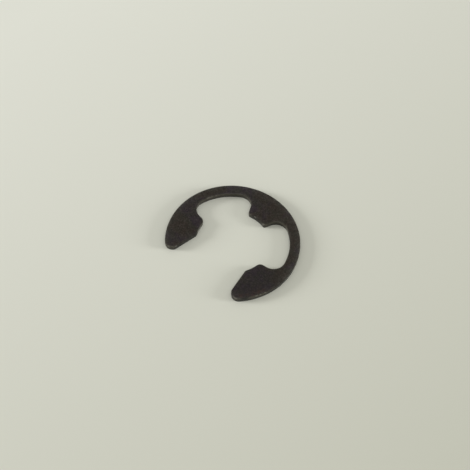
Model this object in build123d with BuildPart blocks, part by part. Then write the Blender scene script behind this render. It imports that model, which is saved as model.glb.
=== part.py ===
from build123d import *
from math import cos, radians, sin, sqrt, tan
import os

# Radially fitted E-type circlip for a shaft groove of 24 mm, stamped from spring steel strip.
# Origin: centre of the shaft circle, on the underside.  Z runs up through the thickness,
# X runs along the middle prong, and the mouth opens towards -X.

# Plan sizes, mm and degrees
outside_diameter = 44.0         # round outer edge of the ring
seat_diameter = 24.0            # circle the three prong tips close on, the groove bottom
thickness = 2.0                 # strip thickness
band_width = 3.4                # width of the springy band behind the windows
mouth_width = 21.1              # between the sharp corners of seat circle and mouth
mouth_flare = 10.4              # each mouth edge leans outward by this angle from the X axis

# Prong angles
middle_tip_width = 6.8          # across the sharp corners of the middle tip, on the seat circle
middle_flank_angle = 25.5       # each flank of the middle prong leans from the X axis by this
side_corner_angle = 91.9        # from the X axis round to a side prong's window-side corner
side_flank_lean = 7.4           # lean of a side prong's window-side flank from the Y axis

outside_radius = outside_diameter / 2
seat_radius = seat_diameter / 2
window_radius = outside_radius - band_width
prong_depth = window_radius - seat_radius

# Corner roundings, each a share of the feature it sits on
middle_root_radius = 0.575 * prong_depth     # middle prong's flank into the window's outer arc
side_root_radius = 0.6 * prong_depth         # side prong's flank into the window's outer arc
side_corner_radius = 0.26 * prong_depth      # side prong's window-side corner at the seat
middle_corner_radius = 0.11 * middle_tip_width     # the two corners of the middle tip
mouth_corner_radius = 0.062 * mouth_width    # side prong's mouth-side corner, passed by the shaft
lug_radius = 0.11 * outside_radius           # nose between mouth edge and round outer edge

# Cut edge left by the press tool, from the upper face down
rolled_edge_radius = 0.17 * thickness        # die-roll all round the upper face
torn_height = 0.45 * thickness               # lower part of the wall, where the steel tore
torn_lean = 6.0                              # the torn part leans in under the sheared part
burr_edge_width = 0.04 * thickness           # tumbled burr edge all round the underside
torn_inset = torn_height * tan(radians(torn_lean))

reach = outside_diameter        # long enough for a cutting line to leave the ring
overlap = seat_radius / 6       # a cutting line starts this far inside the shaft circle

# Sharp corners on the seat circle, upper half (Y positive)
middle_corner = (sqrt(seat_radius**2 - (middle_tip_width / 2) ** 2), middle_tip_width / 2)
side_corner = (seat_radius * cos(radians(side_corner_angle)),
               seat_radius * sin(radians(side_corner_angle)))
mouth_corner = (-sqrt(seat_radius**2 - (mouth_width / 2) ** 2), mouth_width / 2)

# Unit directions, pointing outward, of the three straight edges of the upper half
middle_flank = (cos(radians(middle_flank_angle)), sin(radians(middle_flank_angle)))
side_flank = (sin(radians(side_flank_lean)), cos(radians(side_flank_lean)))
mouth_edge = (-cos(radians(mouth_flare)), sin(radians(mouth_flare)))


def along(point, direction, distance):
    """The point reached from a corner by going a distance along a direction."""
    return (point[0] + direction[0] * distance, point[1] + direction[1] * distance)


def out_to(point, direction, radius):
    """Where the line from a corner along a direction meets a circle about the shaft centre."""
    lead = point[0] * direction[0] + point[1] * direction[1]
    return along(point, direction, sqrt(lead**2 - point[0]**2 - point[1]**2 + radius**2) - lead)


def across(point):
    """The mirror image of a point on the other side of the middle prong."""
    return (point[0], -point[1])


def round_pair(sketch, point, radius):
    """Round the sharp corner at a point of a sketch, and its mirror image."""
    for place in (point, across(point)):
        fillet(sketch.vertices().sort_by_distance(place)[0], radius)


# One window: the sector between the middle prong and the side prong, out to the band
with BuildSketch() as window:
    Circle(window_radius)
    with BuildLine():
        Polyline(
            along(middle_corner, middle_flank, -overlap),
            along(middle_corner, middle_flank, reach),
            along(side_corner, side_flank, reach),
            along(side_corner, side_flank, -overlap),
            close=True,
        )
    make_face(mode=Mode.INTERSECT)

# The blank as the press tool cuts it, with every corner rounded
with BuildSketch() as blank:
    Circle(outside_radius)
    Circle(seat_radius, mode=Mode.SUBTRACT)
    mouth_inner = along(mouth_corner, mouth_edge, -overlap)
    mouth_outer = along(mouth_corner, mouth_edge, reach)
    with BuildLine():
        Polyline(mouth_inner, mouth_outer, across(mouth_outer), across(mouth_inner), close=True)
    make_face(mode=Mode.SUBTRACT)
    add(window.sketch, mode=Mode.SUBTRACT)
    add(mirror(window.sketch, about=Plane.XZ), mode=Mode.SUBTRACT)

    round_pair(blank, out_to(mouth_corner, mouth_edge, outside_radius), lug_radius)
    round_pair(blank, out_to(side_corner, side_flank, window_radius), side_root_radius)
    round_pair(blank, out_to(middle_corner, middle_flank, window_radius), middle_root_radius)
    round_pair(blank, mouth_corner, mouth_corner_radius)
    round_pair(blank, side_corner, side_corner_radius)
    round_pair(blank, middle_corner, middle_corner_radius)

# The ring: the upper edge is rolled over, and the wall leans in where it tore near the underside
with BuildPart() as circlip:
    add(blank.sketch)
    extrude(amount=thickness)
    fillet(circlip.faces().sort_by(Axis.Z)[-1].edges(), rolled_edge_radius)
    underside = circlip.faces().sort_by(Axis.Z)[0]
    chamfer(underside.edges(), torn_inset, torn_height, reference=underside)
    chamfer(circlip.faces().sort_by(Axis.Z)[0].edges(), burr_edge_width)

circlip.part.label = "circlip"

os.makedirs("parts", exist_ok=True)
export_step(circlip.part, "parts/circlip.step")
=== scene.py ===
from math import atan2, ceil, cos, pi, radians, sin, sqrt, tan

import bpy
import numpy as np
from mathutils import Matrix, Vector, noise
from mathutils.geometry import delaunay_2d_cdt


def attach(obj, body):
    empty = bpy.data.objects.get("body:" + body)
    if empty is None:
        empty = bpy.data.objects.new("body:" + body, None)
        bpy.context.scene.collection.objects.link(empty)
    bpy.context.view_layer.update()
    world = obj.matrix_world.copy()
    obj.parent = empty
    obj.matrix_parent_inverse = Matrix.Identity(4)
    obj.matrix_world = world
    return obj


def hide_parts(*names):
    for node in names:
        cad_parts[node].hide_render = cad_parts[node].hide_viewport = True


MM = 0.001

# Sizes of the ring, in mm and degrees, as the solid has them
THICK = 2.0
OUTER = 22.0                      # radius of the round outer edge
SEAT = 12.0                       # radius of the circle that the prong tips close on
WINDOW = 18.6                     # radius of the windows' outer arc
MOUTH = (10.55, 10.4)             # half width between the mouth's corners, flare of its edges
MIDDLE = (3.4, 25.5)              # half width of the middle tip, lean of its flanks
SIDE = (91.9, 7.4)                # place of a side prong's corner on the seat, lean of its flank
ROUNDINGS = {
    "lug": 2.42, "mouth": 1.3082, "side": 1.716,
    "side_root": 3.96, "middle_root": 3.795, "middle": 0.748,
}

# The punched edge, in mm: what the press tool leaves from the upper face down
ROLL_WIDTH = 0.46
ROLL_DEPTH = 0.20
ROLL_PULL = (0.12, 0.35)          # shares by which the roll is wider and deeper on a bulge
TIGHT = 1.4                       # a rounding of this radius or less is a bulge or a hollow in full
TEAR = 0.90                       # height of the tear line
TORN_LEAN = tan(radians(6.0))
BURR = 0.07
BURR_TURN = 0.3                   # share of the burr edge at which it turns under

# Waver of the edge: amplitude in mm, features a mm, seed of the noise
TEAR_WAVER = ((0.13, 0.7, 3), (0.07, 2.6, 8))
WALL_WAVER = (0.004, 5.0, 21)
TORN_CRUMB = ((0.022, 2.2, 40), (0.018, 5.5, 60))

# The mesh, in mm
STEP = 0.15                       # spacing of the columns of points along the outline
TURN_STEP = 0.14                  # the most that the outline turns between two columns, in radians
TOUCH = 1e-4                      # pieces of the outline with less than this between them touch
ROLL_STEPS = 8
TORN_STEPS = 8
TEAR_STEP = 0.03                  # the torn wall's first row lies this far below the tear line
WALL_RUB = (0.7, 0.25, 0.0)       # how rubbed the sheared wall is, row by row
INSIDE_ROLL = 0.03                # the flat faces start this far in from the roll and the burr edge
INSIDE_BURR = 0.05
CAP_GRID = 0.45                   # spacing of the points that carry the flat faces' wear
CAP_ROW = 0.98                    # spacing of their rows, as a share of CAP_GRID
CAP_CLEAR = 0.3                   # they keep this far from the roll
MARGIN = 1.0                      # how far in from the outline handling has worn the coat and a painted sheen lies

# Places on the ring: x, y, radius in mm
BARE_CORNER_GLINTS = (                  # the coat is rubbed through on the noses and the middle tip, with painted glints there
    (-15.4, -14.8, 1.6), (-15.4, 13.0, 1.5), (-15.6, 14.6, 1.2),
    (11.6, 2.9, 0.9), (11.3, -3.9, 0.9),
)
BRIGHT_EDGE_HIGHLIGHTS = (                   # the rolled edge is rubbed bright and carries a painted highlight along these stretches
    (4.8, 17.7, 1.7), (7.2, 16.9, 1.5), (9.2, 15.9, 1.3),
    (-10.9, -19.0, 2.2), (-8.0, -20.4, 2.4), (-5.2, -21.2, 1.6),
)
NICKS_AND_GLINTS = (                         # bright steel shows in small nicks along the rolled edge, which also carry painted glints
    (-15.4, -14.9, 1.1), (7.0, 17.0, 0.8), (-14.1, 11.8, 0.8), (8.1, 16.5, 0.7), (-10.3, -19.3, 0.7),
    (-15.8, 13.7, 0.5), (11.6, -3.1, 0.7), (9.4, 15.6, 0.7), (11.7, 0.8, 0.7), (-9.2, -20.0, 0.4),
    (-8.5, 10.4, 0.6), (-7.5, -20.7, 0.4), (11.4, 2.4, 0.5),
)
WALL_SHADE_SPOTS = (                    # painted shade: the cut wall is darker at these places
    (-5.2, -21.6, 2.4), (-2.8, -22.2, 3.0), (0.6, -22.4, 3.2), (3.8, -21.8, 3.2),
    (-12.7, 11.5, 2.6), (-9.4, 11.1, 3.0), (-6.6, 10.6, 2.0), (11.9, 0.0, 3.4),
    (-13.2, 17.2, 3.4), (-15.8, -13.4, 1.8), (13.2, -13.2, 3.4), (-13.5, -17.0, 1.8),
)
BLACK_FOOT = ((-8.0, -20.6, 3.2), (-11.5, -18.6, 3.0), (-14.5, -16.2, 2.4))    # dark where the wall tore
BLACK_FACE = ((-5.0, -17.6, 8.0), (-11.0, -16.6, 6.5))    # the flat face is darker on the lower lug
RUST = (                          # a film of rust beside the lower nose
    (-13.6, -15.6, 1.2), (-12.2, -17.0, 1.3), (-10.6, -18.2, 1.3), (-8.9, -19.1, 1.2), (-7.4, -19.8, 1.0),
)
SPOT_CORE = 0.3                   # a spot has its full strength within this share of its radius
SHEEN_AND_HANDLING_FROM = 19.0               # outside this radius the flat face is handled more and more and carries more painted sheen

COLOURS = {                       # sRGB, 0 to 255
    "violet black": (40, 32, 38), "warm black": (41, 34, 27), "olive black": (38, 37, 29),
    "pale fleck": (66, 60, 58), "dark fleck": (14, 12, 11), "crystal": (50, 46, 41),
    "black face": (24, 21, 22), "rust": (66, 38, 32),
    "burnished, dark": (48, 45, 39), "burnished": (60, 57, 49),
    "torn, dark": (43, 40, 36), "torn": (57, 53, 47),
    "black foot": (24, 22, 19), "painted wall shade": (22, 20, 17),
    "thin coat and sheen": (100, 101, 95), "bare steel and highlight": (97, 93, 82), "bright steel and glint": (140, 138, 131),
    "floor, far left": (227, 228, 219), "floor, near right": (196, 197, 184),
}


def lin(r, g, b):
    """An sRGB colour, 0 to 255, as a linear RGBA value."""
    def one(c):
        c /= 255.0
        return c / 12.92 if c <= 0.04045 else ((c + 0.055) / 1.055) ** 2.4
    return (one(r), one(g), one(b), 1.0)


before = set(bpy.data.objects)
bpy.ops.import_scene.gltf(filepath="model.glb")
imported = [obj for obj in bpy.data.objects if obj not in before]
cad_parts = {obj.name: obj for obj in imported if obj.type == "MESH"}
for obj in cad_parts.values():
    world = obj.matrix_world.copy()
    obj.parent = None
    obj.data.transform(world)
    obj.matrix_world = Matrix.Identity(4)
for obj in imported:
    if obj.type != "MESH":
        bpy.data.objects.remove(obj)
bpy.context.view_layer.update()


# ---------------------------------------------------------------- outline of the ring
def heading(degrees):
    return Vector((cos(radians(degrees)), sin(radians(degrees))))


def rounding(name, point, along, circle, side, beyond):
    """A rounding between a line and a circle round the origin.

    The line leaves point in the direction along.  side is 1 where the rounding's centre
    lies left of it, and beyond is 1 where it lies outside the circle.
    Returns the centre, the radius, and where it touches the line and the circle.
    """
    radius = ROUNDINGS[name]
    left = Vector((-along.y, along.x))
    start = point + side * radius * left
    run = start.dot(along)
    reach = circle + beyond * radius
    centre = start + (sqrt(run * run - start.length_squared + reach * reach) - run) * along
    return centre, radius, centre - side * radius * left, centre * (circle / centre.length)


def arc(centre, radius, turn, first, last):
    """(point, outward normal, curvature) along an arc; turn is 1 where the steel bulges."""
    start = atan2(first.y - centre.y, first.x - centre.x)
    sweep = turn * ((turn * (atan2(last.y - centre.y, last.x - centre.x) - start)) % (2 * pi))
    count = ceil(abs(sweep) * radius / min(STEP, TURN_STEP * radius))
    made = []
    for i in range(count + 1):
        out = Vector((cos(start + sweep * i / count), sin(start + sweep * i / count)))
        made.append((centre + radius * out, turn * out, turn / radius))
    return made


def half_outline():
    """The upper half, from the back of the ring round the lug and the window to the middle tip."""
    origin = Vector((0, 0))
    mouth_corner = Vector((-sqrt(SEAT ** 2 - MOUTH[0] ** 2), MOUTH[0]))
    mouth_edge = heading(180 - MOUTH[1])
    side_corner = SEAT * heading(SIDE[0])
    side_flank = heading(90 - SIDE[1])
    middle_corner = Vector((sqrt(SEAT ** 2 - MIDDLE[0] ** 2), MIDDLE[0]))
    middle_flank = heading(MIDDLE[1])

    lug = rounding("lug", mouth_corner, mouth_edge, OUTER, -1, -1)
    mouth = rounding("mouth", mouth_corner, mouth_edge, SEAT, -1, 1)
    side = rounding("side", side_corner, side_flank, SEAT, 1, 1)
    side_root = rounding("side_root", side_corner, side_flank, WINDOW, -1, -1)
    middle_root = rounding("middle_root", middle_corner, middle_flank, WINDOW, 1, -1)
    middle = rounding("middle", middle_corner, middle_flank, SEAT, -1, 1)

    pieces = [
        arc(origin, OUTER, 1, Vector((OUTER, 0)), lug[3]),
        arc(lug[0], lug[1], 1, lug[3], lug[2]),
        arc(mouth[0], mouth[1], 1, mouth[2], mouth[3]),
        arc(origin, SEAT, -1, mouth[3], side[3]),
        arc(side[0], side[1], 1, side[3], side[2]),
        arc(side_root[0], side_root[1], -1, side_root[2], side_root[3]),
        arc(origin, WINDOW, -1, side_root[3], middle_root[3]),
        arc(middle_root[0], middle_root[1], -1, middle_root[3], middle_root[2]),
        arc(middle[0], middle[1], 1, middle[2], middle[3]),
        arc(origin, SEAT, -1, middle[3], Vector((SEAT, 0))),
    ]
    outline = []
    for piece in pieces:
        if outline:
            end, out, _ = outline[-1]
            gap = piece[0][0] - end
            steps = ceil(gap.length / STEP) if gap.length > TOUCH else 0
            outline += [(end + gap * i / steps, out, 0.0) for i in range(1, steps)]
            if not steps:
                outline.pop()         # the two arcs share this point
        outline += piece
    return outline


def whole_outline():
    """(point, outward normal, pull) round the ring; pull is 1 on a bulge and -1 in a hollow."""
    half = half_outline()
    other = [(Vector((p.x, -p.y)), Vector((n.x, -n.y)), k) for p, n, k in reversed(half[1:-1])]
    outline = half + other
    count = len(outline)
    pull = [max(-1.0, min(1.0, TIGHT * k)) for p, n, k in outline]
    for _ in range(2):                # smoothed twice over nine columns
        pull = [sum(pull[(i + j) % count] for j in range(-4, 5)) / 9 for i in range(count)]
    return [(p, n, pull[i]) for i, (p, n, k) in enumerate(outline)]


# ---------------------------------------------------------------- the punched ring as a mesh
def ripple(p, z, scale, seed):
    """Smooth noise, -1 to 1; scale is in features a mm."""
    return noise.noise(Vector((p.x * scale, p.y * scale, z * scale + seed)))


def wear_at(inset):
    """Wear of the coat, with a painted sheen, by distance from the outline: 1 at the outline, 0 from
    MARGIN inwards.
    """
    left = np.clip(1 - np.asarray(inset) / MARGIN, 0, 1)
    return left * left * (3 - 2 * left)


def section(p, pull):
    """The edge at one place, as (inset, height, wall, torn, edge) from the upper face down."""
    width = ROLL_WIDTH * (1 + ROLL_PULL[0] * pull)
    depth = ROLL_DEPTH * (1 + ROLL_PULL[1] * pull)
    rows = [(width + INSIDE_ROLL, THICK, 0.0, 0.0, 0.0)]
    for i in range(ROLL_STEPS + 1):
        turn = radians(90 * i / ROLL_STEPS)
        rows.append((width * (1 - sin(turn)), THICK - depth * (1 - cos(turn)),
                     sin(turn) ** 6, 0.0, sin(turn) ** 2))
    tear = sum((high * ripple(p, 0, scale, seed) for high, scale, seed in TEAR_WAVER), TEAR)
    top = THICK - depth
    deep, scale, seed = WALL_WAVER
    for i, rub in enumerate(WALL_RUB, 1):
        z = top + (tear - top) * i / len(WALL_RUB)
        rows.append((deep + deep * ripple(p, 0, scale, seed), z, 1.0, 0.0, rub))
    for i in range(TORN_STEPS + 1):
        z = (tear - TEAR_STEP) + (BURR - tear + TEAR_STEP) * i / TORN_STEPS
        crumb = sum(deep * abs(ripple(p, z, scale, seed)) for deep, scale, seed in TORN_CRUMB)
        lean = (tear - z) * TORN_LEAN
        rows.append((lean + crumb, z, 1.0, 1.0, 0.0))
    foot = (tear - BURR) * TORN_LEAN
    rows.append((foot + BURR_TURN * BURR, BURR_TURN * BURR, 0.6, 0.6, 0.3))
    rows.append((foot + BURR, 0.0, 0.0, 0.0, 0.3))
    rows.append((foot + BURR + INSIDE_BURR, 0.0, 0.0, 0.0, 0.0))
    return rows


def cap(rim, outline):
    """Fills a flat face: points inside the rim, their distance from the outline, triangles."""
    edge = np.array(outline)
    after = np.roll(edge, -1, 0)
    across = np.arange(-OUTER, OUTER, CAP_GRID)
    gx, gy = np.meshgrid(across, across * CAP_ROW)
    gx[::2] += CAP_GRID / 2
    kept, inset = [], []
    for p in np.stack([gx.ravel(), gy.ravel()], 1):
        away = np.sqrt(((edge - p) ** 2).sum(1).min())
        if away < ROLL_WIDTH + CAP_CLEAR:
            continue
        # inside the outline, a ray towards +X crosses it an odd number of times
        straddles = (edge[:, 1] > p[1]) != (after[:, 1] > p[1])
        e, f = edge[straddles], after[straddles]
        hits = e[:, 0] + (p[1] - e[:, 1]) * (f[:, 0] - e[:, 0]) / (f[:, 1] - e[:, 1])
        if (hits > p[0]).sum() % 2:
            kept.append(tuple(p))
            inset.append(away)
    count = len(rim)
    loop = [(i, (i + 1) % count) for i in range(count)]
    corners = [Vector(p) for p in rim + kept]
    _, _, faces, origin, _, _ = delaunay_2d_cdt(corners, loop, [], 1, 1e-7)    # 1: inside the loop
    return kept, inset, [[origin[i][0] for i in face] for face in faces]


def punched_ring():
    """The ring as one closed mesh that carries the marks wall, torn, edge and worn."""
    outline = whole_outline()
    columns = [section(p, pull) for p, n, pull in outline]
    rows = len(columns[0])
    count = len(outline)
    points, marks = [], []
    for (p, n, pull), column in zip(outline, columns):
        for inset, z, *mark in column:
            points.append((p.x - inset * n.x, p.y - inset * n.y, z))
            marks.append(mark + [float(wear_at(inset))])
    faces = []
    for i in range(count):
        a, b = i * rows, (i + 1) % count * rows
        faces += [(a + k, a + k + 1, b + k + 1, b + k) for k in range(rows - 1)]
    line = [tuple(p) for p, n, pull in outline]
    for first, z in ((0, THICK), (rows - 1, 0.0)):
        rim = [i * rows + first for i in range(count)]
        inner, inset, triangles = cap([points[i][:2] for i in rim], line)
        index = rim + list(range(len(points), len(points) + len(inner)))
        points += [(x, y, z) for x, y in inner]
        marks += [[0.0, 0.0, 0.0, float(wear)] for wear in wear_at(inset)]
        for triangle in triangles:
            face = [index[i] for i in triangle]
            faces.append(face if z else face[::-1])

    mesh = bpy.data.meshes.new("circlip_steel")
    mesh.from_pydata([(x * MM, y * MM, z * MM) for x, y, z in points], [], faces)
    mesh.shade_smooth()
    for k, name in enumerate(("wall", "torn", "edge", "worn")):
        layer = mesh.attributes.new(name, "FLOAT", "POINT")
        layer.data.foreach_set("value", [mark[k] for mark in marks])
    made = bpy.data.objects.new("circlip_steel", mesh)
    bpy.context.collection.objects.link(made)
    return made


ring = punched_ring()
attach(ring, "root")
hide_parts("circlip")


# ---------------------------------------------------------------- node helpers
class Tree:
    """Short names for building one material's node tree."""

    def __init__(self, name):
        self.mat = bpy.data.materials.new(name)
        self.mat.use_nodes = True
        self.nodes = self.mat.node_tree.nodes
        self.links = self.mat.node_tree.links
        self.nodes.clear()

    def node(self, kind, **settings):
        made = self.nodes.new(kind)
        for key, value in settings.items():
            setattr(made, key, value)
        return made

    def put(self, socket, value):
        """Feeds a socket from another socket, from a name in COLOURS or from a plain value."""
        if isinstance(value, bpy.types.NodeSocket):
            self.links.new(value, socket)
        elif isinstance(value, str):
            socket.default_value = lin(*COLOURS[value])
        else:
            socket.default_value = value

    def math(self, operation, a, b=0.0):
        made = self.node("ShaderNodeMath", operation=operation)
        self.put(made.inputs[0], a)
        self.put(made.inputs[1], b)
        return made.outputs[0]

    def times(self, product, *factors):
        for factor in factors:
            product = self.math("MULTIPLY", product, factor)
        return product

    def less(self, value, share=1.0):
        """1 less a share of the value."""
        return self.math("SUBTRACT", 1.0, self.times(value, share))

    def split(self, coords):
        """The x and the y of a place."""
        made = self.node("ShaderNodeSeparateXYZ")
        self.put(made.inputs[0], coords)
        return made.outputs["X"], made.outputs["Y"]

    def distance(self, xy, x, y):
        """How far a place is from the upright line through x, y in mm."""
        dx = self.math("SUBTRACT", xy[0], x * MM)
        dy = self.math("SUBTRACT", xy[1], y * MM)
        return self.math("SQRT", self.math("ADD", self.times(dx, dx), self.times(dy, dy)))

    def ramp(self, value, low, high, smooth=True):
        """0 below low, 1 above high (or the other way round when low > high)."""
        made = self.node("ShaderNodeMapRange")
        made.interpolation_type = "SMOOTHSTEP" if smooth else "LINEAR"
        made.clamp = True
        self.put(made.inputs["Value"], value)
        made.inputs["From Min"].default_value = min(low, high)
        made.inputs["From Max"].default_value = max(low, high)
        made.inputs["To Min"].default_value = 0.0 if low < high else 1.0
        made.inputs["To Max"].default_value = 1.0 if low < high else 0.0
        return made.outputs["Result"]

    def noise(self, coords, scale, detail, roughness, stretch=None):
        """Noise, 0 to 1; scale is in features a metre."""
        if stretch:
            mapped = self.node("ShaderNodeMapping")
            self.put(mapped.inputs["Vector"], coords)
            mapped.inputs["Scale"].default_value = stretch
            coords = mapped.outputs["Vector"]
        made = self.node("ShaderNodeTexNoise")
        self.put(made.inputs["Vector"], coords)
        made.inputs["Scale"].default_value = scale
        made.inputs["Detail"].default_value = detail
        made.inputs["Roughness"].default_value = roughness
        return made.outputs["Fac"]

    def mix(self, factor, a, b):
        """From colour a to colour b; the sockets of colours are 6, 7 and 2 on this node."""
        made = self.node("ShaderNodeMix", data_type="RGBA", blend_type="MIX")
        self.put(made.inputs[0], factor)
        self.put(made.inputs[6], a)
        self.put(made.inputs[7], b)
        return made.outputs[2]

    def mark(self, name):
        """A mark that the mesh carries, 0 to 1."""
        return self.node("ShaderNodeAttribute", attribute_name=name).outputs["Fac"]

    def finish(self, shader):
        out = self.node("ShaderNodeOutputMaterial")
        self.links.new(shader, out.inputs["Surface"])
        return self.mat


# ---------------------------------------------------------------- the blackened spring steel
def near(t, xy, spots):
    """1 at the middle of each spot (x, y, radius in mm), falling to 0 at its radius."""
    total = None
    for x, y, radius in spots:
        spot = t.ramp(t.distance(xy, x, y), radius * MM, radius * SPOT_CORE * MM)
        total = spot if total is None else t.math("MAXIMUM", total, spot)
    return total


def spring_steel():
    t = Tree("blackened_spring_steel")
    place = t.node("ShaderNodeTexCoord").outputs["Object"]
    xy = t.split(place)
    wall, torn, edge, worn = t.mark("wall"), t.mark("torn"), t.mark("edge"), t.mark("worn")

    cloud = t.noise(place, 160.0, 2.0, 0.5)          # patches of several millimetres
    tint = t.noise(place, 380.0, 3.0, 0.6)           # patches of a few millimetres
    mottle = t.noise(place, 900.0, 5.0, 0.65)        # patches of about a millimetre
    fleck = t.noise(place, 2800.0, 4.0, 0.65)        # flecks of a third of a millimetre
    grain = t.noise(place, 9000.0, 3.0, 0.6)         # crystals of the phosphate coat
    drag = t.noise(place, 9000.0, 2.0, 0.5, stretch=(1.0, 1.0, 0.03))    # lines up the cut wall

    # flat faces: brown-black, drifting between a violet, a warm and an olive black
    base = t.mix(t.ramp(cloud, 0.42, 0.58), "violet black", "warm black")
    base = t.mix(t.times(t.ramp(tint, 0.44, 0.60), 0.68), base, "olive black")
    base = t.mix(t.times(t.ramp(fleck, 0.50, 0.64), 0.6), base, "pale fleck")
    base = t.mix(t.times(t.ramp(fleck, 0.50, 0.36), 0.7), base, "dark fleck")
    base = t.mix(t.times(t.ramp(grain, 0.55, 0.8), 0.2), base, "crystal")
    black_face = near(t, xy, BLACK_FACE)
    base = t.mix(t.times(black_face, 0.3), base, "black face")
    rusty = t.times(near(t, xy, RUST), t.ramp(mottle, 0.40, 0.60), 0.30)
    base = t.mix(rusty, base, "rust")

    # punched wall: burnished upper part, torn lower part, darker at the torn foot in places, with painted
    # shade in other places
    burnished = t.mix(t.ramp(drag, 0.30, 0.75), "burnished, dark", "burnished")
    rough_wall = t.mix(t.ramp(grain, 0.35, 0.7), "torn, dark", "torn")
    wall_colour = t.mix(torn, burnished, rough_wall)
    black_foot = t.times(near(t, xy, BLACK_FOOT), torn, 0.85)
    wall_colour = t.mix(black_foot, wall_colour, "black foot")
    # painted shade on the cut wall at these places
    painted_wall_shade = near(t, xy, WALL_SHADE_SPOTS)
    wall_colour = t.mix(painted_wall_shade, wall_colour, "painted wall shade")
    colour = t.mix(wall, base, wall_colour)

    # margins: the coat is worn thin, most of all on the band and the noses, and the lighter margin is
    # partly a painted sheen
    thin = t.ramp(mottle, 0.38, 0.66)
    outside = t.ramp(t.distance(xy, 0.0, 0.0), SHEEN_AND_HANDLING_FROM * MM, OUTER * MM, smooth=False)
    handled_and_sheen = t.math("ADD", t.times(worn, 0.6), t.times(outside, 0.7))
    coat_wear_and_sheen = t.times(handled_and_sheen, t.less(wall), t.math("ADD", 0.05, t.times(thin, 0.17)))
    coat_wear_and_sheen = t.times(coat_wear_and_sheen, t.less(black_face, 0.6))
    colour = t.mix(coat_wear_and_sheen, colour, "thin coat and sheen")

    # rolled edge: rubbed all round; bare at the corners and along two stretches, where painted glints and
    # highlights lie
    edge_wear_and_glint = t.times(edge, t.math("ADD", 0.11, t.times(thin, 0.26)))
    # the painted wall shade also dims the rolled edge there
    edge_wear_and_glint = t.times(edge_wear_and_glint, t.less(painted_wall_shade, 0.75))
    under = t.math("SUBTRACT", wall, t.math("POWER", edge, 3.0))    # 0 on the roll, 1 on the wall
    lip = t.times(edge, t.ramp(under, 0.90, 0.25))
    # painted glints where the coat is rubbed through on the noses and the middle tip
    glint = t.times(t.ramp(fleck, 0.44, 0.56), near(t, xy, BARE_CORNER_GLINTS))
    # a painted highlight on the rubbed stretches of the rolled edge
    bright = t.times(t.ramp(fleck, 0.42, 0.60), near(t, xy, BRIGHT_EDGE_HIGHLIGHTS))
    # bare spots: wear, with painted glints and highlights
    bare = t.times(t.math("MAXIMUM", glint, bright), lip, 0.74)
    edge_wear_and_glint = t.math("MAXIMUM", edge_wear_and_glint, bare)
    colour = t.mix(edge_wear_and_glint, colour, "bare steel and highlight")
    # nicks of bright steel, with painted glints
    nick_and_glint = t.times(near(t, xy, NICKS_AND_GLINTS), lip, t.ramp(grain, 0.40, 0.54), 0.60)
    colour = t.mix(nick_and_glint, colour, "bright steel and glint")

    bsdf = t.node("ShaderNodeBsdfPrincipled")
    t.put(bsdf.inputs["Base Color"], colour)
    rough = t.math("ADD", 0.35, t.times(t.math("SUBTRACT", mottle, 0.5), 0.25))
    rough = t.math("SUBTRACT", rough, t.times(edge_wear_and_glint, 0.12))
    t.put(bsdf.inputs["Roughness"], rough)
    t.put(bsdf.inputs["Metallic"], t.times(edge_wear_and_glint, 0.6))
    bsdf.inputs["Specular IOR Level"].default_value = 0.24
    bump = t.node("ShaderNodeBump")
    bump.inputs["Strength"].default_value = 0.5
    bump.inputs["Distance"].default_value = 0.03 * MM
    t.put(bump.inputs["Height"], t.math("ADD", t.times(grain, 0.35), t.times(mottle, 0.65)))
    t.put(bsdf.inputs["Normal"], bump.outputs["Normal"])
    return t.finish(bsdf.outputs["BSDF"])


ring.data.materials.append(spring_steel())


# ---------------------------------------------------------------- floor
FLOOR_RADIUS = 1.3                # metres
DARKER = (-0.181, -0.983)         # the way in which the floor's painted falloff of light gets darker: near right as the camera sees it
DARKER_REACH = 0.12               # metres from the ring to where it stops changing


def pale_floor():
    t = Tree("pale_floor")
    x, y = t.split(t.node("ShaderNodeTexCoord").outputs["Object"])
    along = t.math("ADD", t.times(x, DARKER[0]), t.times(y, DARKER[1]))
    # the floor's colour carries a painted falloff of light, darker towards the near right
    shade = t.ramp(along, -DARKER_REACH, DARKER_REACH, smooth=False)
    bsdf = t.node("ShaderNodeBsdfPrincipled")
    t.put(bsdf.inputs["Base Color"], t.mix(shade, "floor, far left", "floor, near right"))
    bsdf.inputs["Roughness"].default_value = 0.6
    bsdf.inputs["Specular IOR Level"].default_value = 0.1
    return t.finish(bsdf.outputs["BSDF"])


bpy.ops.mesh.primitive_circle_add(vertices=128, radius=FLOOR_RADIUS, fill_type="NGON")
floor = bpy.context.object
floor.name = "floor"
floor.data.materials.append(pale_floor())


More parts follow.
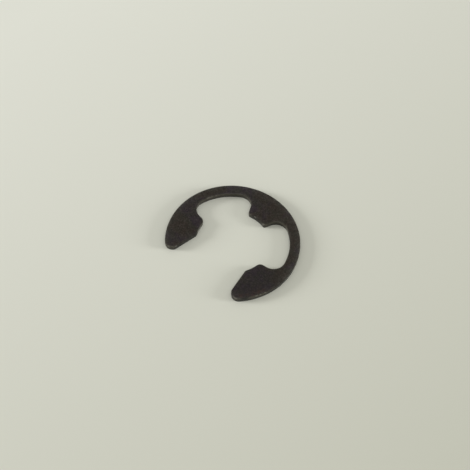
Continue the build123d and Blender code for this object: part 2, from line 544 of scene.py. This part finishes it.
# ---------------------------------------------------------------- camera
IMAGE_PX = 470
ELEVATION = radians(56.62)
ROLL = radians(3.48)
TURN = radians(51.19)             # the middle prong points this far round from the camera's right
RADIUS_PX = 67.515                # the ring's outside radius in the picture
RADII_AWAY = 21.9                 # the camera's distance in outside radii of the ring
CENTRE_PX = (232.525, 244.020)    # where the ring's centre, on its underside, is seen
FOCAL_PX = RADIUS_PX * RADII_AWAY
DISTANCE = RADII_AWAY * OUTER * MM
SENSOR = 36.0

unturn = Matrix.Rotation(-TURN, 3, "Z")
forward = unturn @ Vector((0, cos(ELEVATION), -sin(ELEVATION)))
level = unturn @ Vector((1, 0, 0))
over = level.cross(forward)
right = cos(ROLL) * level + sin(ROLL) * over
up = -sin(ROLL) * level + cos(ROLL) * over
off_right, off_down = [(px - IMAGE_PX / 2) / FOCAL_PX for px in CENTRE_PX]
aim = forward + off_right * right - off_down * up

lens = bpy.data.cameras.new("camera")
lens.sensor_width = SENSOR
lens.lens = SENSOR * FOCAL_PX / IMAGE_PX
lens.clip_start = 0.01
camera = bpy.data.objects.new("camera", lens)
bpy.context.collection.objects.link(camera)
turned = Matrix((right, up, -forward)).transposed()
camera.matrix_world = Matrix.Translation(-DISTANCE * aim) @ turned.to_4x4()
bpy.context.scene.camera = camera


# ---------------------------------------------------------------- light
def lamp(name, side, back, high, size, power):
    """A square softbox that faces the ring: metres to the camera's right, away from it and up.

    Only the overhead one shows in reflections.  The side lamps stand low, and from the far
    side they would leave a glare on the floor and the ring.
    """
    data = bpy.data.lights.new(name, "AREA")
    data.shape = "SQUARE"
    data.size = size
    data.energy = power
    made = bpy.data.objects.new(name, data)
    bpy.context.collection.objects.link(made)
    spot = unturn @ Vector((side, back, high))
    made.location = spot
    made.rotation_euler = (-spot).to_track_quat("-Z", "Y").to_euler()
    made.visible_camera = False
    made.visible_glossy = name == "overhead"


lamp("overhead", 0.0, -0.8, 1.9, 1.4, 7.0)
lamp("right", 5.85, -0.3, 1.35, 1.68, 216.0)
lamp("left", -5.80, 0.0, 1.55, 1.68, 306.0)

world = bpy.data.worlds.new("world")
bpy.context.scene.world = world
world.use_nodes = True
background = world.node_tree.nodes["Background"]
background.inputs["Color"].default_value = (0.470, 0.466, 0.437, 1)    # linear, a pale warm grey
background.inputs["Strength"].default_value = 1.0

bpy.context.scene.view_settings.view_transform = "Standard"
